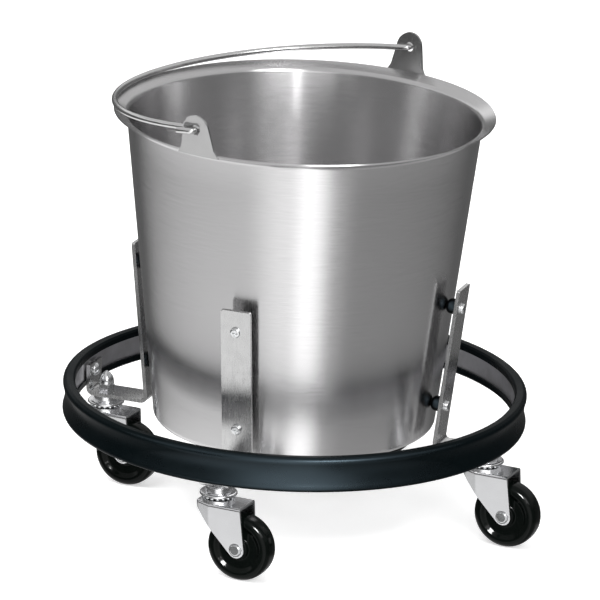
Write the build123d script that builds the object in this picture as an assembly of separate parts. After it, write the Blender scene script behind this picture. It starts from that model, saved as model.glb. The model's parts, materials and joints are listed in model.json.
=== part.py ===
from build123d import *
from math import asin, atan, cos, degrees, radians, sin
import os

# Stainless pail held by rubber buttons in a four-legged ring frame on swivel casters.
# Millimetres. The origin is the centre of the pail's flat underside, +Z up.
# +X, +Y, -X and -Y each point at one bracket of the frame; -Y is the front.

os.makedirs("parts", exist_ok=True)

# Play and building aids
seat_gap = 0.05                   # between parts that only touch
running_gap = 0.05                # round turning parts
ball_play = 0.02
end_play = 0.1                    # a pin, sleeve or rivet short of, or past, its neighbour
overlap = 1.0                     # how far joined volumes enter each other
overshoot = 10.0                  # how far a cutter runs past the part

# Pail
pail_height = 263.0
wall_radius_at_base = 116.0
wall_lean = 0.112                 # outward run per unit of height
sheet = 1.2
base_corner = 6.0
lip_radius = 155.5
lip_rise = 4.6
lip_bend = 4.0

# Ears
ear_azimuth = -12.0               # from the front towards +X
ear_thickness = 2.0
ear_foot_circle = 156.55          # middle of the plate at its lower edge
ear_hole_circle = 160.0           # middle of the plate at the hole
ear_below_lip = 2.5
ear_base_width = 33.0
ear_weld_width = 38.0             # flare where the plate meets the lip
ear_weld_height = 3.5
ear_top_radius = 12.0
ear_blank_arc = 20.0              # degrees of lip the plate is cut from
hole_above_lip = 19.7
ear_hole_radius = 4.0

# Bail
bail_wire_radius = 2.5
bail_radius = 155.5
bail_end_bend = 3.6
bail_stub = 14.0
bail_end_circle = 165.8           # wire turned up outside the leaning plate
bail_rest_gap = 0.15              # folded wire above the lip

# Ring
bumper_radius = 191.5
bumper_bottom = 1.2
bumper_height = 29.4
bumper_waist = 1.7                # depth of the hollow round the outside
bumper_shoulder = 4.2
bumper_brow = 3.6                 # width of the rounded edge, seen from above
bumper_brow_in = 1.0              # fullest point of that edge, inward and down
bumper_brow_down = 1.2
lip_wrap = 4.0                    # how far each edge covers the hoop's inner face
lip_skin = 1.5
lip_round = 1.5
lip_slope = 0.3
band_outer_radius = 186.0
band_thickness = 3.0
band_edge_cover = 2.2             # rubber above and below the hoop

# Brackets
strip_width = 25.4
strip_thickness = 3.0
strip_bend = 3.0                  # inside radius
strip_corner = 2.0                # rounding of the two top corners
pail_gap = 10.0                   # horizontal gap from pail wall to strip
strip_top = 133.0
foot_top = -2.0
tab_top = 21.0
tab_face_radius = 181.0

# Rivets, screws and buttons
rivet_height = 14.2
rivet_radius = 2.6
rivet_dome = 6.4
rivet_head_height = 3.8
rivet_pad_radius = 6.3            # boss pressed out of the tab up to the hoop
screw_heights = [30.0, 115.0]
screw_radius = 2.0
screw_reach = 6.5                 # into the button
screw_head_radius = 4.3
screw_head_height = 2.4
screw_head_round = 1.4
slot_width = 1.0
slot_length = 5.2
slot_depth = 1.3
button_radius = 6.3
button_nose = 4.4                 # rounding of the end at the pail

# Caster stems, nuts and swivel bearings
stem_circle_radius = 168.0
stem_radius = 4.0
stem_above_foot = 9.0
kingpin_head_radius = 6.6
kingpin_head_height = 2.5
pin_chamfer = 0.8
cap_nut_flats = 13.0
cap_nut_hexagon = 5.8
cap_nut_height = 16.5
cap_nut_dome = 6.3
cap_nut_chamfer = 0.8
cap_nut_full_out = 0.74           # fullest point of the pointed dome, as shares
cap_nut_full_up = 0.62            # of its radius and of its height
cap_nut_blind = 0.5               # hollow left above the stem
cup_hub_radius = 10.5
cup_radius = 15.3
cup_lip = 2.2                     # how far the cup's edge turns down
cup_sheet = 1.5
cup_bends = [1.2, 1.0, 0.9]       # hub top, hub foot, edge
ball_radius = 1.9
ball_circle = 11.2
ball_count = 16
race_inner_radius = 8.9
race_outer_radius = 13.5
race_height = 2.3

# Forks
trail = 22.0
trail_azimuth = -4.3              # wheel side, from +X towards +Y
crown_top = -18.0
crown_half_width = 14.5
crown_front = 25.5
crown_turn = -1.0                 # where the sides start to close in
crown_back = -16.5
crown_back_half_width = 10.5
crown_corner = 6.0
crown_skirt = 4.5
fold_radius = 2.2                 # outside of the fold from crown to legs
fork_sheet = 2.0
fork_side_play = 0.15             # between fork and hub, each side
leg_half_width = 11.9             # outside, at the axle
leg_end_radius = 7.0
boss_radius = 5.6
boss_face = 12.4                  # outside of the axle bosses

# Axles and wheels
axle_height = -53.8
axle_radius = 3.1
axle_head_radius = 4.4
axle_head_height = 1.5
axle_head_round = 0.8
axle_nut_flats = 10.4
axle_nut_height = 3.6
axle_past_nut = 0.8
bush_radius = 4.0
wheel_radius = 27.6
tread_width = 18.5
tread_crown = 0.5
wheel_shoulder = 5.6              # rounding from tread to side
rim_inner_radius = 20.4
web_depth = 2.6                   # how far the web lies below the rim's side
hub_radius = 8.6
hub_width = 19.0
hub_draft = 1.0                   # extra radius of the hub at the web
rim_draft = 3.6                   # the same at the rim's inside
tread_round = 20.0
hub_edge_round = 0.8
hub_foot_round = 1.0
web_round = 3.0
rim_edge_round = 2.4

STATIONS = {"front": -90.0, "right": 0.0, "rear": 90.0, "left": 180.0}


def save(shape, name):
    shape.label = name
    export_step(shape, os.path.join("parts", name + ".step"))


def save_group(solids, name):
    save(Compound(children=list(solids)), name)


def turned(shape, angle):
    return shape.rotate(Axis.Z, angle)


def ring_of(profile):
    return revolve(profile, Axis.Z)


def rod(radius, start, end):
    """Round bar between two points."""
    a = Vector(*start)
    along = Vector(*end) - a
    return extrude(Plane(origin=a, z_dir=along) * Circle(radius), along.length)


def last_edge(shape, plane):
    """The edge of a turned shape that lies farthest along its axis."""
    return shape.edges().sort_by(Axis(plane.origin, plane.z_dir))[-1]


# ---------------------------------------------------------------- pail
def pail_shell():
    """Spun shell: flat base, leaning wall and an open conical lip."""
    lip_under = pail_height - sheet
    wall_top = lip_under - lip_rise
    wall_top_radius = wall_radius_at_base + wall_lean * wall_top
    with BuildSketch(Plane.XZ) as section:
        with BuildLine():
            FilletPolyline(
                (0, 0),
                (wall_radius_at_base, 0),
                (wall_top_radius, wall_top),
                (lip_radius, lip_under),
                radius=[base_corner, lip_bend],
            )
            offset(amount=sheet, side=Side.LEFT)
        make_face()
    return ring_of(section.sketch)


shell = pail_shell()
hole_height = pail_height + hole_above_lip


def ear():
    """Plate welded to the lip's edge and leaning outward, built pointing to +X."""
    low = pail_height - ear_below_lip
    top = hole_height + ear_top_radius + overlap
    lean = (ear_hole_circle - ear_foot_circle) / (hole_height - low)
    with BuildSketch(Plane.XZ) as section:
        with BuildLine():
            line = Line((ear_foot_circle, low), (ear_foot_circle + lean * (top - low), top))
        trace(line, line_width=ear_thickness)
    plate = revolve(section.sketch, Axis.Z, ear_blank_arc).rotate(Axis.Z, -ear_blank_arc / 2)
    half_base = ear_base_width / 2
    half_weld = ear_weld_width / 2
    flare_top = pail_height + ear_weld_height
    with BuildSketch(Plane.YZ) as front:
        with BuildLine():
            Line((-half_base, low), (half_base, low))
        with Locations((0, hole_height)):
            Circle(ear_top_radius)
        make_hull()
        with BuildLine():
            Polyline(
                (-half_weld, low),
                (half_weld, low),
                (half_base - overlap, flare_top),
                (overlap - half_base, flare_top),
                close=True,
            )
        make_face()
        with Locations((0, hole_height)):
            Circle(ear_hole_radius, mode=Mode.SUBTRACT)
    blank = extrude(front.sketch, 2 * ear_hole_circle)
    return (plate & blank) - shell


def bail():
    """Bent wire in the XY plane, pivots on the X axis, loop towards +Y."""
    out = bail_end_circle
    bend = bail_end_bend
    with BuildLine() as path:
        Line((out, bail_stub), (out, bend))
        RadiusArc((out, bend), (out - bend, 0), bend)
        Line((out - bend, 0), (bail_radius + bend, 0))
        RadiusArc((bail_radius + bend, 0), (bail_radius, bend), bend)
        ThreePointArc((bail_radius, bend), (0, bail_radius), (-bail_radius, bend))
        RadiusArc((-bail_radius, bend), (-bail_radius - bend, 0), bend)
        Line((-bail_radius - bend, 0), (-out + bend, 0))
        RadiusArc((-out + bend, 0), (-out, bend), bend)
        Line((-out, bend), (-out, bail_stub))
    start = Plane(origin=(out, bail_stub, 0), z_dir=(0, -1, 0))
    return sweep(start * Circle(bail_wire_radius), path.line)


# The folded bail lies on the edge of the lip on the -X side.
bail_drop = hole_above_lip - bail_wire_radius - bail_rest_gap
bail_tilt = degrees(asin(bail_drop / bail_radius))
folded_bail = bail().rotate(Axis.X, -bail_tilt).rotate(Axis.Z, 90.0)
folded_bail = folded_bail.moved(Location((0, 0, hole_height)))
ear_part = ear()

save(shell, "pail_shell")
save(turned(ear_part, -90.0 + ear_azimuth), "ear_front")
save(turned(ear_part, 90.0 + ear_azimuth), "ear_rear")
save(turned(folded_bail, ear_azimuth), "bail_handle")


# ---------------------------------------------------------------- ring
bumper_top = bumper_bottom + bumper_height
band_low = bumper_bottom + band_edge_cover
band_high = bumper_top - band_edge_cover
band_inner_radius = band_outer_radius - band_thickness
rivet_hole_radius = rivet_radius + seat_gap


def ring_band():
    """Flat steel hoop with one rivet hole at each bracket."""
    with BuildSketch(Plane.XY.offset(band_low)) as section:
        Circle(band_outer_radius)
        Circle(band_inner_radius, mode=Mode.SUBTRACT)
    hoop = extrude(section.sketch, band_high - band_low)
    for angle in STATIONS.values():
        start = (band_inner_radius - overshoot, 0, rivet_height)
        end = (band_outer_radius + overshoot, 0, rivet_height)
        hoop -= turned(rod(rivet_hole_radius, start, end), angle)
    return hoop


def bumper():
    """Rubber channel pushed over the hoop, hollow round the outside."""
    skin = band_inner_radius - lip_skin
    inner = band_inner_radius - seat_gap
    outer = band_outer_radius + seat_gap
    brow = bumper_radius - bumper_brow
    fullest = bumper_radius - bumper_brow_in
    with BuildSketch(Plane.XZ) as section:
        with BuildLine():
            ThreePointArc(
                (bumper_radius, bumper_bottom + bumper_shoulder),
                (bumper_radius - bumper_waist, (bumper_bottom + bumper_top) / 2),
                (bumper_radius, bumper_top - bumper_shoulder),
            )
            ThreePointArc(
                (bumper_radius, bumper_top - bumper_shoulder),
                (fullest, bumper_top - bumper_brow_down),
                (brow, bumper_top),
            )
            Line((brow, bumper_top), (skin + lip_round, bumper_top - lip_slope))
            RadiusArc(
                (skin + lip_round, bumper_top - lip_slope),
                (skin, bumper_top - lip_slope - lip_round),
                -lip_round,
            )
            Polyline(
                (skin, bumper_top - lip_slope - lip_round),
                (skin, band_high - lip_wrap),
                (inner, band_high - lip_wrap),
                (inner, band_high + seat_gap),
                (outer, band_high + seat_gap),
                (outer, band_low - seat_gap),
                (inner, band_low - seat_gap),
                (inner, band_low + lip_wrap),
                (skin, band_low + lip_wrap),
                (skin, bumper_bottom + lip_slope + lip_round),
            )
            RadiusArc(
                (skin, bumper_bottom + lip_slope + lip_round),
                (skin + lip_round, bumper_bottom + lip_slope),
                -lip_round,
            )
            Line((skin + lip_round, bumper_bottom + lip_slope), (brow, bumper_bottom))
            ThreePointArc(
                (brow, bumper_bottom),
                (fullest, bumper_bottom + bumper_brow_down),
                (bumper_radius, bumper_bottom + bumper_shoulder),
            )
        make_face()
    return ring_of(section.sketch)


save(ring_band(), "ring_band")
save(bumper(), "bumper_channel")


# ---------------------------------------------------------------- brackets
lean_angle = atan(wall_lean)
strip_inner_at_base = wall_radius_at_base + pail_gap


def strip_point(z, depth):
    """Point on the upright: height z on its inner face, depth square to that face."""
    radius = strip_inner_at_base + wall_lean * z + depth * cos(lean_angle)
    return (radius, 0, z - depth * sin(lean_angle))


def strip_plane(z, depth, side):
    """Plane parallel to the upright's face; side 1 looks outward, -1 at the pail."""
    normal = (side * cos(lean_angle), 0, -side * sin(lean_angle))
    return Plane(origin=strip_point(z, depth), x_dir=(0, 1, 0), z_dir=normal)


def bracket():
    """One bent strip: upright, foot and riveted tab, built pointing to +X."""
    half = strip_thickness / 2
    foot_mid = foot_top - half
    tab_mid = tab_face_radius - half
    bend = strip_bend + half
    upright = strip_inner_at_base + half / cos(lean_angle)
    with BuildSketch(Plane.XZ) as section:
        with BuildLine():
            line = FilletPolyline(
                (upright + wall_lean * strip_top, strip_top),
                (upright + wall_lean * foot_mid, foot_mid),
                (tab_mid, foot_mid),
                (tab_mid, tab_top),
                radius=[bend, bend],
            )
        trace(line, line_width=strip_thickness)
    strip = extrude(section.sketch, strip_width / 2, both=True)
    near_top = strip_top - overlap
    top_edges = [e for e in strip.edges() if e.center().Z > near_top]
    strip = fillet([e for e in top_edges if abs(e.center().Y) > overlap], strip_corner)
    pad = rod(rivet_pad_radius, (tab_mid, 0, rivet_height), (band_inner_radius, 0, rivet_height))
    within_hoop = Pos(0, 0, rivet_height) * Cylinder(band_inner_radius - seat_gap, strip_width)
    strip += pad & within_hoop
    inside = (tab_mid - overshoot, 0, rivet_height)
    outside = (tab_mid + overshoot, 0, rivet_height)
    strip -= rod(rivet_hole_radius, inside, outside)
    under = (stem_circle_radius, 0, foot_top - overshoot)
    over = (stem_circle_radius, 0, foot_top + overshoot)
    strip -= rod(stem_radius + seat_gap, under, over)
    for z in screw_heights:
        ends = strip_point(z, -overshoot), strip_point(z, overshoot)
        strip -= rod(screw_radius + seat_gap, *ends)
    return strip


def rivet():
    """Round-headed rivet through tab, pad and hoop, built pointing to +X."""
    face = tab_face_radius - strip_thickness
    middle = face - rivet_head_height + rivet_dome
    ball = Pos(middle, 0, rivet_height) * Sphere(rivet_dome)
    keep = Pos(face - overshoot / 2, 0, rivet_height) * Box(overshoot, 2 * overshoot, 2 * overshoot)
    inner_end = (face - overlap, 0, rivet_height)
    outer_end = (band_outer_radius - end_play, 0, rivet_height)
    return (ball & keep) + rod(rivet_radius, inner_end, outer_end)


def screw(z):
    """Pan-head cross-slot screw through the upright into its button."""
    seat = strip_plane(z, strip_thickness, 1)
    head = extrude(seat * Circle(screw_head_radius), screw_head_height)
    head = fillet(last_edge(head, seat), screw_head_round)
    tip = strip_plane(z, -screw_reach, 1)
    shank = extrude(tip * Circle(screw_radius), screw_reach + strip_thickness + overlap)
    cross = Rectangle(slot_length, slot_width) + Rectangle(slot_width, slot_length)
    slot = extrude(seat.offset(screw_head_height - slot_depth) * cross, slot_depth + overlap)
    return head + shank - slot


def button(z):
    """Rubber button between upright and pail wall, rounded towards the pail."""
    length = pail_gap * cos(lean_angle) - 2 * seat_gap
    seat = strip_plane(z, -seat_gap, -1)
    body = extrude(seat * Circle(button_radius), length)
    body = fillet(last_edge(body, seat), button_nose)
    blind_end = strip_point(z, -screw_reach - end_play)
    return body - rod(screw_radius + seat_gap, strip_point(z, overlap), blind_end)


def cap_nut():
    """Acorn nut that holds the stem down on the foot, at the stem axis."""
    half = cap_nut_flats / 2
    base = Plane.XY.offset(foot_top)
    hexagon = extrude(base * RegularPolygon(half, 6, major_radius=False), cap_nut_height)
    top = foot_top + cap_nut_hexagon
    dome_height = cap_nut_height - cap_nut_hexagon
    corner = half / cos(radians(30))
    with BuildSketch(Plane.XZ) as section:
        with BuildLine():
            Polyline(
                (cap_nut_dome, top),
                (half, top),
                (corner, top - cap_nut_chamfer),
                (corner, foot_top),
                (0, foot_top),
                (0, foot_top + cap_nut_height),
            )
            ThreePointArc(
                (0, foot_top + cap_nut_height),
                (cap_nut_full_out * cap_nut_dome, top + cap_nut_full_up * dome_height),
                (cap_nut_dome, top),
            )
        make_face()
    bore = extrude(base * Circle(stem_radius + seat_gap), stem_above_foot + cap_nut_blind)
    return (hexagon & ring_of(section.sketch)) - bore


bracket_part = bracket()
cap_nut_part = cap_nut().moved(Location((stem_circle_radius, 0, 0)))
for place, angle in STATIONS.items():
    save(turned(bracket_part, angle), "bracket_" + place)
spots = [(angle, z) for angle in STATIONS.values() for z in screw_heights]
save_group([turned(rivet(), angle) for angle in STATIONS.values()], "tab_rivets")
save_group([turned(screw(z), angle) for angle, z in spots], "button_screws")
save_group([turned(button(z), angle) for angle, z in spots], "rubber_buttons")
save_group([turned(cap_nut_part, angle) for angle in STATIONS.values()], "stem_cap_nuts")


# ---------------------------------------------------------------- casters
race_top = crown_top + race_height
ball_height = race_top + ball_radius + ball_play


def stem():
    """Threaded stem and kingpin in one; the fork turns on its lower end."""
    top = foot_top + stem_above_foot
    low = crown_top - fork_sheet - end_play
    with BuildSketch(Plane.XZ) as section:
        with BuildLine():
            Polyline(
                (0, top),
                (stem_radius - pin_chamfer, top),
                (stem_radius, top - pin_chamfer),
                (stem_radius, low),
                (kingpin_head_radius, low),
                (kingpin_head_radius - pin_chamfer, low - kingpin_head_height),
                (0, low - kingpin_head_height),
                close=True,
            )
        make_face()
    return ring_of(section.sketch)


def bearing_cup():
    """Pressed upper race under the foot: a hub, a flange and a turned-down edge."""
    half = cup_sheet / 2
    top = foot_top - strip_thickness - seat_gap - half
    flange = ball_height + ball_radius + 2 * ball_play + half
    with BuildSketch(Plane.XZ) as section:
        with BuildLine():
            line = FilletPolyline(
                (stem_radius + seat_gap, top),
                (cup_hub_radius - half, top),
                (cup_hub_radius - half, flange),
                (cup_radius - half, flange),
                (cup_radius - half, flange + half - cup_lip),
                radius=cup_bends,
            )
        trace(line, line_width=cup_sheet)
    return ring_of(section.sketch)


def balls():
    """Swivel balls between the cup and the race on the crown."""
    ball = Pos(ball_circle, 0, ball_height) * Sphere(ball_radius)
    return [turned(ball, 360.0 * k / ball_count) for k in range(ball_count)]


def crown_plan(inset):
    """The fork's outline from above, open-ended towards the wheel."""
    with BuildSketch() as plan:
        for side in (-1, 1):
            with Locations(
                (crown_back + crown_corner, side * (crown_back_half_width - crown_corner)),
                (crown_turn, side * (crown_half_width - crown_corner)),
                (2 * crown_front, side * (crown_half_width - crown_corner)),
            ):
                Circle(crown_corner - inset)
        make_hull()
    return plan.sketch


def fork():
    """Pressed fork, stem axis on Z, wheel side towards +X."""
    drop = crown_top - axle_height
    depth = drop + leg_end_radius + overlap
    slope = degrees(atan((crown_half_width - leg_half_width) / drop))
    skin = extrude(Plane.XY.offset(crown_top) * crown_plan(0), -depth, taper=slope)
    skin = fillet(skin.faces().sort_by(Axis.Z)[-1].edges(), fold_radius)
    under = Plane.XY.offset(crown_top - fork_sheet)
    hollow = extrude(under * crown_plan(fork_sheet + fork_side_play), -depth, taper=slope)
    with BuildSketch(Plane.XZ) as side:
        with Locations(((crown_front + crown_back) / 2, crown_top - crown_skirt / 2)):
            Rectangle(crown_front - crown_back, crown_skirt)
        with Locations((trail, axle_height)):
            Circle(leg_end_radius)
        make_hull()
    body = (skin - hollow) & extrude(side.sketch, 2 * crown_half_width, both=True)
    bosses = rod(boss_radius, (trail, -boss_face, axle_height), (trail, boss_face, axle_height))
    hub_room = Box(2 * overshoot, hub_width + 2 * fork_side_play, 2 * overshoot)
    body = body + bosses - Pos(trail, 0, axle_height) * hub_room
    with BuildSketch(Plane.XZ) as race:
        with Locations(((race_inner_radius + race_outer_radius) / 2, race_top)):
            Rectangle(
                race_outer_radius - race_inner_radius,
                race_height + overlap,
                align=(Align.CENTER, Align.MAX),
            )
    body += ring_of(race.sketch)
    near = (trail, -boss_face - overshoot, axle_height)
    far = (trail, boss_face + overshoot, axle_height)
    body -= rod(axle_radius + seat_gap, near, far)
    under = (0, 0, crown_top - overshoot)
    over = (0, 0, crown_top + overshoot)
    body -= rod(stem_radius + running_gap, under, over)
    return body


def axle():
    """Axle bolt, low round head on the side facing -Y."""
    seat = Plane(origin=(trail, -boss_face, axle_height), z_dir=(0, -1, 0))
    head = extrude(seat * Circle(axle_head_radius), axle_head_height)
    head = fillet(last_edge(head, seat), axle_head_round)
    near_end = (trail, -boss_face - axle_head_height / 2, axle_height)
    far_end = (trail, boss_face + axle_nut_height + axle_past_nut, axle_height)
    return head + rod(axle_radius, near_end, far_end)


def axle_nut():
    """Plain hexagon nut on the axle's far end."""
    seat = Plane(origin=(trail, boss_face, axle_height), x_dir=(1, 0, 0), z_dir=(0, 1, 0))
    hexagon = RegularPolygon(axle_nut_flats / 2, 6, major_radius=False)
    nut = extrude(seat * hexagon, axle_nut_height)
    far = (trail, boss_face + axle_nut_height + overshoot, axle_height)
    return nut - rod(axle_radius + seat_gap, (trail, 0, axle_height), far)


def bush():
    """Spacer sleeve the wheel turns on."""
    half = hub_width / 2 + end_play
    ends = (trail, -half, axle_height), (trail, half, axle_height)
    return rod(bush_radius, *ends) - rod(axle_radius + seat_gap, *ends)


def wheel():
    """Moulded wheel with crowned tread, dished sides and a hub."""
    half = tread_width / 2
    hub = hub_width / 2
    web = half - web_depth
    bore = bush_radius + running_gap
    edge = wheel_radius - tread_crown
    side_bends = [hub_edge_round, hub_foot_round, web_round, rim_edge_round]
    with BuildSketch(Plane.XY) as section:
        with BuildLine():
            FilletPolyline(
                (bore, -hub),
                (hub_radius, -hub),
                (hub_radius + hub_draft, -web),
                (rim_inner_radius - rim_draft, -web),
                (rim_inner_radius, -half),
                (edge, -half),
                (wheel_radius, 0),
                (edge, half),
                (rim_inner_radius, half),
                (rim_inner_radius - rim_draft, web),
                (hub_radius + hub_draft, web),
                (hub_radius, hub),
                (bore, hub),
                radius=[*side_bends, wheel_shoulder, tread_round, wheel_shoulder, *reversed(side_bends)],
            )
            Line((bore, hub), (bore, -hub))
        make_face()
    return revolve(section.sketch, Axis.Y).moved(Location((trail, 0, axle_height)))


def placed(shape, angle, heading):
    """Turn a caster piece to its heading and move it to its place on the ring."""
    spot = Vector(stem_circle_radius, 0, 0).rotate(Axis.Z, angle)
    return turned(shape, heading).moved(Location(spot))


fixed_parts = {"stem": stem(), "cup": bearing_cup()}
swivel_parts = {
    "fork": fork(),
    "axle": axle(),
    "axle_nut": axle_nut(),
    "bush": bush(),
    "wheel": wheel(),
}
ball_parts = balls()

for place, angle in STATIONS.items():
    caster = place + "_caster_"
    for name, shape in fixed_parts.items():
        save(placed(shape, angle, angle), caster + name)
    for name, shape in swivel_parts.items():
        save(placed(shape, angle, trail_azimuth), caster + name)
    save_group([placed(ball, angle, trail_azimuth) for ball in ball_parts], caster + "balls")
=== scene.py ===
"""Stainless pail in a wheeled ring frame: finishes, fine meshes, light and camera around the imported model."""

import json
import math

import bmesh
import bpy
from mathutils import Matrix, Vector


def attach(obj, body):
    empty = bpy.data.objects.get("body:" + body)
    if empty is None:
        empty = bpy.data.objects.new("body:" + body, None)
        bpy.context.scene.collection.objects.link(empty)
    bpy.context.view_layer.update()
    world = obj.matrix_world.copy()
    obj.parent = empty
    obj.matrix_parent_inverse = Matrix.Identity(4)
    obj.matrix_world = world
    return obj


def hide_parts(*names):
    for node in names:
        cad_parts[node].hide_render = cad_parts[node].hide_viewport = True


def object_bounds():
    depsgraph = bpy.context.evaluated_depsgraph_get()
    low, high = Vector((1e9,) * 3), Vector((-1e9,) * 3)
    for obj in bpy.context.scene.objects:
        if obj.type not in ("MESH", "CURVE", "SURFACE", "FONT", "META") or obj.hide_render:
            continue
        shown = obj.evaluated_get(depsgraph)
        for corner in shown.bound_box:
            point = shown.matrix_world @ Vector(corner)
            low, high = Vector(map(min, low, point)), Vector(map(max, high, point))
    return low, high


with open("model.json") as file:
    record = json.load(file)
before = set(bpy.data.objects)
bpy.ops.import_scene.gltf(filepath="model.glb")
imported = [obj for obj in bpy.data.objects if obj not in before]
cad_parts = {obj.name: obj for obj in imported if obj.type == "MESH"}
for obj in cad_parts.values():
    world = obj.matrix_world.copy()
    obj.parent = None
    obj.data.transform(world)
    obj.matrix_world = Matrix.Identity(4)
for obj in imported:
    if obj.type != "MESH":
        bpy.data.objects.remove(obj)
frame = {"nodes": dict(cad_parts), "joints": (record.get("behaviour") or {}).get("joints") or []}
cad_low, cad_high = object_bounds()

MM = 0.001
STATIONS = ("front", "right", "rear", "left")
JOINTS = {joint["name"]: joint for joint in frame["joints"]}

# Camera: angles in degrees, lengths in metres, lens and sensor in millimetres; azimuth 0 is the front.
VIEW_AZIMUTH = 20.2
VIEW_ELEVATION = 17.9
VIEW_ROLL = 2.1
VIEW_DISTANCE = 4.64
VIEW_LENS = 339.0
AIM_RIGHT = 0.0015
AIM_HEIGHT = 0.101
SENSOR_WIDTH = 36.0
FAR_CLIP = 100.0

FLOOR_SIZE = 30.0
FLOOR_LIFT = 0.5
LAMP_AIM_HEIGHT = 0.1

TINY = 1e-6             # a length up to this counts as nothing
SAME_POINT = 2e-6       # vertices closer than this are one
SHARP_ANGLE = 40.0      # steeper edges stay sharp
SHARP_ON_CASTERS = 50.0
LARGE_STEPS = 320       # facets round the pail and the ring
WHEEL_STEPS = 128
CUP_STEPS = 96


# ------------------------------------------------------------------ node helpers
class Shader:
    """A node material under construction, with short calls for the nodes it needs."""

    def __init__(self, name):
        self.material = bpy.data.materials.new(name)
        self.material.use_nodes = True
        self.tree = self.material.node_tree
        self.tree.nodes.clear()
        self.output = self.tree.nodes.new("ShaderNodeOutputMaterial")
        self.surface = self.tree.nodes.new("ShaderNodeBsdfPrincipled")
        self.tree.links.new(self.surface.outputs[0], self.output.inputs["Surface"])

    def node(self, kind, settings=None, **inputs):
        made = self.tree.nodes.new("ShaderNode" + kind)
        for key, value in (settings or {}).items():
            setattr(made, key, value)
        for key, value in inputs.items():
            self.plug(made, key.replace("_", " "), value)
        return made

    def plug(self, node, name, value):
        slot = node.inputs[int(name)] if name.isdigit() else node.inputs[name]
        if isinstance(value, bpy.types.NodeSocket):
            self.tree.links.new(value, slot)
        else:
            slot.default_value = value

    def set(self, **inputs):
        for key, value in inputs.items():
            self.plug(self.surface, key.replace("_", " "), value)

    def math(self, operation, a, b=0.0):
        made = self.node("Math", {"operation": operation})
        self.plug(made, "0", a)
        self.plug(made, "1", b)
        return made.outputs[0]

    def vector(self, x, y, z):
        return self.node("CombineXYZ", X=x, Y=y, Z=z).outputs[0]

    def position(self):
        coordinates = self.node("TexCoord").outputs["Object"]
        split = self.node("SeparateXYZ", Vector=coordinates)
        return coordinates, split.outputs[0], split.outputs[1], split.outputs[2]

    def noise(self, vector, scale, detail=3.0, roughness=0.55):
        made = self.node("TexNoise", Vector=vector, Scale=scale, Detail=detail, Roughness=roughness)
        return made.outputs["Fac"]

    def between(self, factor, low, high, start=0.25, end=0.75):
        made = self.node("MapRange", Value=factor)
        self.plug(made, "From Min", start)
        self.plug(made, "From Max", end)
        self.plug(made, "To Min", low)
        self.plug(made, "To Max", high)
        return made.outputs[0]

    def blend_colour(self, factor, first, second):
        made = self.node("Mix", {"data_type": "RGBA"})
        self.plug(made, "0", factor)
        self.plug(made, "6", (*first, 1.0))
        self.plug(made, "7", (*second, 1.0))
        return made.outputs[2]

    def facing(self):
        """0 where the surface looks at the viewer, 1 where it is seen edge-on."""
        return self.node("LayerWeight", Blend=0.5).outputs["Facing"]

    def bump(self, height, strength, distance):
        made = self.node("Bump", Height=height, Strength=strength, Distance=distance)
        self.plug(self.surface, "Normal", made.outputs[0])


def grey(value):
    return (value, value, value)


# ------------------------------------------------------------------ finishes
def turned_grain(shader, around, across):
    """Coordinates stretched round the Z axis, so that noise becomes fine rings."""
    _, x, y, z = shader.position()
    squares = shader.math("ADD", shader.math("MULTIPLY", x, x), shader.math("MULTIPLY", y, y))
    radius = shader.math("SQRT", squares)
    u = shader.math("MULTIPLY", shader.math("DIVIDE", x, radius), around)
    v = shader.math("MULTIPLY", shader.math("DIVIDE", y, radius), around)
    w = shader.math("MULTIPLY", shader.math("ADD", z, radius), across)
    return shader.vector(u, v, w)


def brushed_stainless():
    """Spun pail steel: the grain runs round the pail, so highlights stand upright."""
    s = Shader("brushed_stainless")
    fine = s.noise(turned_grain(s, 14.0, 3600.0), 1.0, 2.0)
    broad = s.noise(turned_grain(s, 5.0, 1500.0), 1.0, 2.0)
    soft = s.noise(s.position()[0], 9.0, 2.0)
    mixed = s.math("ADD", s.math("MULTIPLY", fine, 0.55), s.math("MULTIPLY", broad, 0.45))
    tangent = s.node("Tangent", {"direction_type": "RADIAL", "axis": "Z"}).outputs[0]
    s.set(
        Base_Color=s.blend_colour(s.between(mixed, 0.0, 1.0), (0.58, 0.575, 0.58), (0.69, 0.685, 0.69)),
        Metallic=1.0,
        Roughness=s.math("ADD", s.between(mixed, 0.19, 0.26), s.between(soft, -0.015, 0.015)),
        Anisotropic=0.88,
        Anisotropic_Rotation=0.25,
        Tangent=tangent,
    )
    s.bump(mixed, 0.03, 0.02 * MM)
    return s.material


def satin_steel(name="satin_steel", base=0.66, rough=0.24):
    """Rolled strip: faint upright grain and light handling marks."""
    s = Shader(name)
    coordinates, x, y, z = s.position()
    across = 900.0
    along = 30.0
    stretched = s.vector(
        s.math("MULTIPLY", x, across),
        s.math("MULTIPLY", y, across),
        s.math("MULTIPLY", z, along),
    )
    grain = s.noise(stretched, 1.0, 3.0)
    marks = s.noise(coordinates, 120.0, 4.0, 0.6)
    s.set(
        Base_Color=s.blend_colour(grain, grey(base - 0.03), grey(base + 0.05)),
        Metallic=1.0,
        Roughness=s.math("ADD", s.between(grain, rough - 0.04, rough + 0.06), s.between(marks, -0.03, 0.04)),
    )
    s.bump(grain, 0.02, 0.03 * MM)
    return s.material


def band_steel():
    """Hoop steel, grain running round the hoop."""
    s = Shader("band_steel")
    grain = s.noise(turned_grain(s, 3.0, 1400.0), 1.0, 3.0)
    marks = s.noise(s.position()[0], 60.0, 4.0, 0.6)
    s.set(
        Base_Color=s.blend_colour(marks, (0.32, 0.315, 0.32), (0.58, 0.58, 0.62)),
        Metallic=1.0,
        Roughness=s.between(grain, 0.34, 0.46),
    )
    s.bump(grain, 0.15, 0.08 * MM)
    return s.material


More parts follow.
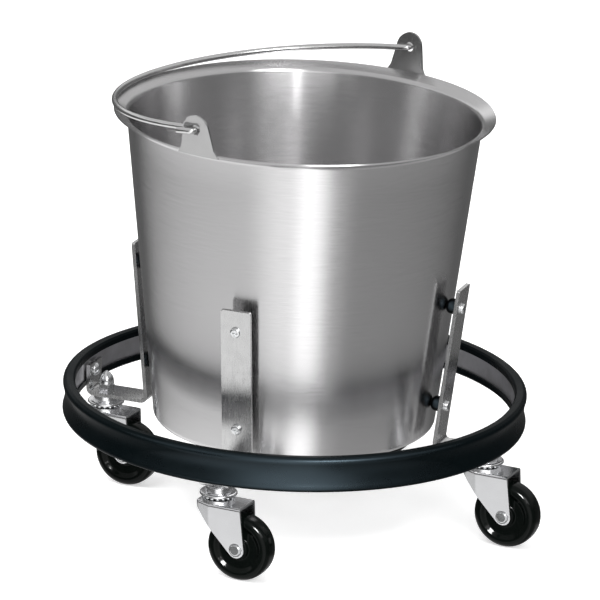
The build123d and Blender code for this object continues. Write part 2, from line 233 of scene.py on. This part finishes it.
def plated_steel(name="plated_steel", tint=(0.88, 0.885, 0.90), rough=0.17):
    """Bright zinc plate: slight bluish cloud and a fine orange peel."""
    s = Shader(name)
    coordinates = s.position()[0]
    cloud = s.noise(coordinates, 90.0, 3.0)
    peel = s.noise(coordinates, 900.0, 2.0)
    darker = tuple(channel * 0.86 for channel in tint)
    s.set(
        Base_Color=s.blend_colour(cloud, darker, tint),
        Metallic=1.0,
        Roughness=s.between(cloud, rough, rough + 0.10),
    )
    s.bump(peel, 0.12, 0.06 * MM)
    return s.material


def bail_wire():
    """Drawn stainless wire, bright with faint die lines."""
    s = Shader("bail_wire")
    coordinates = s.position()[0]
    lines = s.noise(coordinates, 1500.0, 2.0)
    cloud = s.noise(coordinates, 40.0, 2.0)
    s.set(
        Base_Color=s.blend_colour(cloud, grey(0.60), grey(0.72)),
        Metallic=1.0,
        Roughness=s.between(lines, 0.18, 0.27),
    )
    s.bump(lines, 0.08, 0.04 * MM)
    return s.material


def black_rubber(name="black_rubber", base=(0.0012, 0.0022, 0.0026), rough=0.27):
    """Moulded rubber: near black, half gloss, with a dull bloom in places, and a painted bluish sheen where it
    faces the viewer.
    """
    s = Shader(name)
    coordinates = s.position()[0]
    bloom = s.noise(coordinates, 22.0, 4.0, 0.6)
    skin = s.noise(coordinates, 1400.0, 2.0)
    lighter = tuple(channel * 1.9 for channel in base)
    s.set(
        Base_Color=s.blend_colour(bloom, base, lighter),
        Roughness=s.math("ADD", s.between(bloom, rough - 0.05, rough + 0.09), s.between(skin, -0.02, 0.02)),
        IOR=1.5,
        # Painted sheen: reflection is strong where the surface faces the viewer and almost none edge-on, and
        # the specular tint paints it blue.
        Specular_IOR_Level=s.between(s.facing(), 0.80, 0.03, 0.02, 0.30),
        Specular_Tint=(0.62, 0.84, 1.0, 1.0),
    )
    s.bump(skin, 0.10, 0.12 * MM)
    return s.material


def black_wheel():
    """Hard glossy wheel compound with faint turning marks on the tread."""
    s = Shader("black_wheel")
    coordinates = s.position()[0]
    dust = s.noise(coordinates, 160.0, 4.0, 0.65)
    skin = s.noise(coordinates, 1100.0, 2.0)
    s.set(
        Base_Color=s.blend_colour(dust, (0.0004, 0.0007, 0.0006), (0.0011, 0.0015, 0.0013)),
        Roughness=s.between(dust, 0.08, 0.14),
        IOR=1.5,
        Specular_IOR_Level=0.10,
    )
    s.bump(skin, 0.05, 0.08 * MM)
    return s.material


def floor_paint():
    """Pale sweep, lifted a little towards white so that only contact shadows show."""
    s = Shader("floor_paint")
    cloud = s.noise(s.position()[0], 3.0, 2.0)
    s.set(
        Base_Color=s.blend_colour(cloud, grey(0.88), grey(0.90)),
        Roughness=0.9,
        Specular_IOR_Level=0.0,
        Emission_Color=(1.0, 1.0, 1.0, 1.0),
        Emission_Strength=FLOOR_LIFT,
    )
    return s.material


# ------------------------------------------------------------------ mesh helpers
def new_piece(name, bm, material, smooth_angle=SHARP_ANGLE):
    mesh = bpy.data.meshes.new(name)
    bm.to_mesh(mesh)
    bm.free()
    mesh.shade_smooth()
    mesh.set_sharp_from_angle(angle=math.radians(smooth_angle))
    piece = bpy.data.objects.new(name, mesh)
    bpy.context.scene.collection.objects.link(piece)
    mesh.materials.append(material)
    return piece


def axis_frame(origin, axis, toward):
    """Matrix from a turning frame (local Z along the axis) to the row frame."""
    z = Vector(axis).normalized()
    x = Vector(toward)
    x = (x - z * x.dot(z)).normalized()
    y = z.cross(x)
    turn = Matrix((x, y, z)).transposed().to_4x4()
    return Matrix.Translation(Vector(origin)) @ turn


def section(node, placing):
    """Outline (radius, height) of a turned CAD node, cut by the half-plane through local +X."""
    bm = bmesh.new()
    bm.from_mesh(frame["nodes"][node].data)
    bm.transform(placing.inverted())
    bmesh.ops.remove_doubles(bm, verts=bm.verts, dist=TINY)
    bmesh.ops.bisect_plane(
        bm,
        geom=bm.verts[:] + bm.edges[:] + bm.faces[:],
        dist=TINY / 10,
        plane_co=(0, 0, 0),
        plane_no=(0, 1, 0),
        clear_inner=True,
        clear_outer=True,
    )
    bmesh.ops.remove_doubles(bm, verts=bm.verts, dist=SAME_POINT)
    loose = [v for v in bm.verts if v.co.x < -TINY]
    bmesh.ops.delete(bm, geom=loose, context="VERTS")
    start = min(bm.verts, key=lambda v: (len(v.link_edges), v.co.x))
    outline, seen, here = [], set(), start
    while here is not None:
        seen.add(here)
        outline.append((max(here.co.x, 0.0), here.co.z))
        ways = [e.other_vert(here) for e in here.link_edges]
        here = next((v for v in ways if v not in seen), None)
    bm.free()
    return outline


def lathe(name, outline, placing, steps, material, smooth_angle=SHARP_ANGLE):
    """Closed outline (radius, height) turned about local Z."""
    bm = bmesh.new()
    rings = []
    for radius, height in outline:
        if radius < TINY:
            rings.append([bm.verts.new((0, 0, height))] * steps)
            continue
        turns = [2 * math.pi * k / steps for k in range(steps)]
        rings.append([bm.verts.new((radius * math.cos(a), radius * math.sin(a), height)) for a in turns])
    for ring, after in zip(rings, rings[1:] + rings[:1]):
        for k in range(steps):
            corners = [ring[k], ring[(k + 1) % steps], after[(k + 1) % steps], after[k]]
            corners = list(dict.fromkeys(corners))
            if len(corners) > 2:
                bm.faces.new(corners)
    bmesh.ops.recalc_face_normals(bm, faces=bm.faces)
    bm.transform(placing)
    return new_piece(name, bm, material, smooth_angle)


UPRIGHT = Matrix.Identity(4)


def finish_cad(node, material, edge=0.0, limit=SHARP_ANGLE):
    """Give a CAD node its finish, and soften its edges as the real process would."""
    piece = frame["nodes"][node]
    piece.data.materials.clear()
    piece.data.materials.append(material)
    piece.data.shade_smooth()
    weld = piece.modifiers.new("weld", "WELD")
    weld.merge_threshold = SAME_POINT
    if edge:
        bevel = piece.modifiers.new("edge", "BEVEL")
        bevel.width = edge
        bevel.segments = 3
        bevel.limit_method = "ANGLE"
        bevel.angle_limit = math.radians(limit)
        bevel.use_clamp_overlap = True
    normals = piece.modifiers.new("normals", "WEIGHTED_NORMAL")
    normals.weight = 60
    return piece


# ------------------------------------------------------------------ pieces
STEEL = brushed_stainless()
STRIP = satin_steel()
EAR = satin_steel("ear_steel", 0.46, 0.19)
BAND = band_steel()
PLATE = plated_steel()
BRIGHT = plated_steel("bright_fastener", (0.82, 0.83, 0.84), 0.14)
WIRE = bail_wire()
RUBBER = black_rubber()
BUTTON = black_rubber("button_rubber", (0.0012, 0.0013, 0.0015), 0.42)
WHEEL = black_wheel()


def turn_again(name, node, body, placing, steps, material, smooth_angle=SHARP_ANGLE):
    """Re-turn a CAD node with a finer mesh, on the same outline."""
    piece = lathe(name, section(node, placing), placing, steps, material, smooth_angle)
    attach(piece, body)
    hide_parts(node)
    return piece


def build_pail():
    turn_again("pail_body", "pail_shell", "pail", UPRIGHT, LARGE_STEPS, STEEL)
    for ear in ("ear_front", "ear_rear"):
        finish_cad(ear, EAR, 0.35 * MM)
    finish_cad("bail_handle", WIRE)


def build_frame():
    diagonal = axis_frame((0, 0, 0), (0, 0, 1), (1, 1, 0))
    turn_again("bumper", "bumper_channel", "frame", diagonal, LARGE_STEPS, RUBBER)
    turn_again("hoop", "ring_band", "frame", diagonal, LARGE_STEPS, BAND)
    for place in STATIONS:
        finish_cad("bracket_" + place, STRIP, 0.45 * MM)
    finish_cad("tab_rivets", BRIGHT)
    finish_cad("button_screws", BRIGHT, 0.12 * MM)
    finish_cad("rubber_buttons", BUTTON)
    finish_cad("stem_cap_nuts", BRIGHT, 0.3 * MM)


def build_caster(place):
    """Finish one caster and return its wheel."""
    swivel = JOINTS[place + "_swivel"]
    roll = JOINTS[place + "_roll"]
    stem_axis = axis_frame((swivel["pos_m"][0], swivel["pos_m"][1], 0), (0, 0, 1), (1, 0, 0))
    wheel_axis = axis_frame(roll["pos_m"], roll["axis"], (0, 0, 1))
    name = place + "_caster_"
    turn_again(place + "_bearing_cup", name + "cup", "frame", stem_axis, CUP_STEPS, PLATE, SHARP_ON_CASTERS)
    finish_cad(name + "stem", BRIGHT)
    finish_cad(name + "balls", BRIGHT)
    finish_cad(name + "fork", PLATE, 0.5 * MM)
    finish_cad(name + "axle", BRIGHT, 0.2 * MM)
    finish_cad(name + "axle_nut", BRIGHT, 0.3 * MM)
    finish_cad(name + "bush", BRIGHT)
    tyre = place + "_wheel_tyre"
    body = place + "_wheel"
    return turn_again(tyre, name + "wheel", body, wheel_axis, WHEEL_STEPS, WHEEL, SHARP_ON_CASTERS)


build_pail()
build_frame()
wheels = [build_caster(station) for station in STATIONS]


# ------------------------------------------------------------------ stage, light, camera
def direction(azimuth, elevation):
    """Unit vector from the object out towards a place round it; azimuth 0 is the front."""
    a, e = math.radians(azimuth), math.radians(elevation)
    return Vector((math.sin(a) * math.cos(e), -math.cos(a) * math.cos(e), math.sin(e)))


def build_floor():
    bm = bmesh.new()
    bmesh.ops.create_grid(bm, x_segments=8, y_segments=8, size=FLOOR_SIZE)
    bmesh.ops.translate(bm, verts=bm.verts, vec=(0, 0, cad_low.z))
    floor = new_piece("floor", bm, floor_paint())
    floor.visible_glossy = False


# The empty studio, by height (sine of the angle above the horizon): pale floor, dim room, walls, ceiling.
FLOOR_LEVEL = 0.45
LEVELS = ((-0.43, 0.12), (0.23, 0.45), (0.37, 0.65))
LEVEL_SOFTNESS = 0.05

# Soft boxes in the studio: azimuth from the camera (+ to its right), half width, softness of the sides,
# lower and upper edge (as heights above), and brightness added to the empty studio.
SOFT_BOXES = {
    "floor_left": (-75, 90, 15, -1.20, -0.43, 0.70),
    "floor_key": (8, 10, 8, -1.20, -0.43, 0.75),
    "front_window": (0, 25, 15, -0.43, 0.23, 1.30),
    "front_strip": (0, 10, 8, 0.23, 0.37, 1.00),
    "back_left_wall": (-130, 60, 15, 0.23, 0.37, 0.60),
    "high_lamp": (20, 12, 10, 0.37, 0.70, 8.00),
}


def build_world():
    world = bpy.data.worlds.new("studio")
    world.use_nodes = True
    bpy.context.scene.world = world
    tree = world.node_tree
    tree.nodes.clear()

    def node(kind, settings=None, *inputs):
        made = tree.nodes.new("ShaderNode" + kind)
        for key, value in (settings or {}).items():
            setattr(made, key, value)
        for slot, value in zip(made.inputs, inputs):
            if isinstance(value, bpy.types.NodeSocket):
                tree.links.new(value, slot)
            else:
                slot.default_value = value
        return made

    def part_along(axis):
        return node("VectorMath", {"operation": "DOT_PRODUCT"}, seen, axis).outputs["Value"]

    def combine(operation, *values):
        return node("Math", {"operation": operation}, *values).outputs[0]

    def step(value, centre, softness):
        """0 below the centre, 1 above it, with a soft change between."""
        smooth = {"interpolation_type": "SMOOTHSTEP"}
        return node("MapRange", smooth, value, centre - softness, centre + softness).outputs[0]

    def soft_box(azimuth, half_width, softness, low, high, brightness):
        aside = combine("WRAP", combine("SUBTRACT", angle, math.radians(azimuth)), math.pi, -math.pi)
        aside = combine("ABSOLUTE", aside)
        inside = combine("SUBTRACT", 1.0, step(aside, math.radians(half_width), math.radians(softness)))
        over = step(upward, low, LEVEL_SOFTNESS)
        under = combine("SUBTRACT", 1.0, step(upward, high, LEVEL_SOFTNESS))
        return combine("MULTIPLY", combine("MULTIPLY", inside, brightness), combine("MULTIPLY", over, under))

    seen = node("TexCoord").outputs["Generated"]
    upward = part_along((0, 0, 1))
    rightward = part_along(direction(VIEW_AZIMUTH + 90, 0))
    angle = combine("ARCTAN2", rightward, part_along(direction(VIEW_AZIMUTH, 0)))
    around, below = FLOOR_LEVEL, FLOOR_LEVEL
    for height, level in LEVELS:
        rise = combine("MULTIPLY", step(upward, height, LEVEL_SOFTNESS), level - below)
        around, below = combine("ADD", around, rise), level
    for box in SOFT_BOXES.values():
        around = combine("ADD", around, soft_box(*box))
    surround = node("Background", None, (1.0, 1.0, 1.0, 1.0), around).outputs[0]
    backdrop = node("Background", None, (1.0, 1.0, 1.0, 1.0), 1.0).outputs[0]
    camera_ray = node("LightPath").outputs["Is Camera Ray"]
    node("OutputWorld", None, node("MixShader", None, camera_ray, surround, backdrop).outputs[0])


def area_light(name, azimuth, elevation, distance, size, power, mirrored=False, pieces=()):
    """Disk lamp aimed at the object, at an azimuth from the camera, + to its right.

    Only a mirrored lamp shows in polished surfaces. Where pieces are given, only they are lit by it.
    """
    data = bpy.data.lights.new(name, "AREA")
    data.shape = "DISK"
    data.size = size
    data.energy = power
    lamp = bpy.data.objects.new(name, data)
    bpy.context.scene.collection.objects.link(lamp)
    out = direction(VIEW_AZIMUTH + azimuth, elevation)
    lamp.location = Vector((0, 0, LAMP_AIM_HEIGHT)) + out * distance
    lamp.rotation_mode = "QUATERNION"
    lamp.rotation_quaternion = out.to_track_quat("Z", "Y")
    lamp.visible_glossy = mirrored
    if pieces:
        lit = bpy.data.collections.new(name + "_lit")
        for piece in pieces:
            lit.objects.link(piece)
        lamp.light_linking.receiver_collection = lit


def build_camera():
    data = bpy.data.cameras.new("camera")
    data.lens = VIEW_LENS
    data.sensor_width = SENSOR_WIDTH
    data.clip_end = FAR_CLIP
    camera = bpy.data.objects.new("camera", data)
    bpy.context.scene.collection.objects.link(camera)
    out = direction(VIEW_AZIMUTH, VIEW_ELEVATION)
    aim = direction(VIEW_AZIMUTH + 90, 0) * AIM_RIGHT + Vector((0, 0, AIM_HEIGHT))
    camera.location = aim + out * VIEW_DISTANCE
    camera.rotation_mode = "QUATERNION"
    roll = Matrix.Rotation(math.radians(VIEW_ROLL), 3, "Z").to_quaternion()
    camera.rotation_quaternion = (-out).to_track_quat("-Z", "Y") @ roll
    bpy.context.scene.camera = camera


build_floor()
build_world()
area_light("overhead", azimuth=-30, elevation=70, distance=2.0, size=1.6, power=28.0)
area_light("side", azimuth=-75, elevation=35, distance=2.2, size=1.2, power=14.0)
area_light("flash", azimuth=6, elevation=12, distance=2.2, size=0.20, power=1.2, mirrored=True)
area_light(
    "glint", azimuth=0, elevation=28, distance=2.2, size=0.55, power=150.0, mirrored=True, pieces=wheels
)
build_camera()
bpy.context.scene.view_settings.view_transform = "Standard"
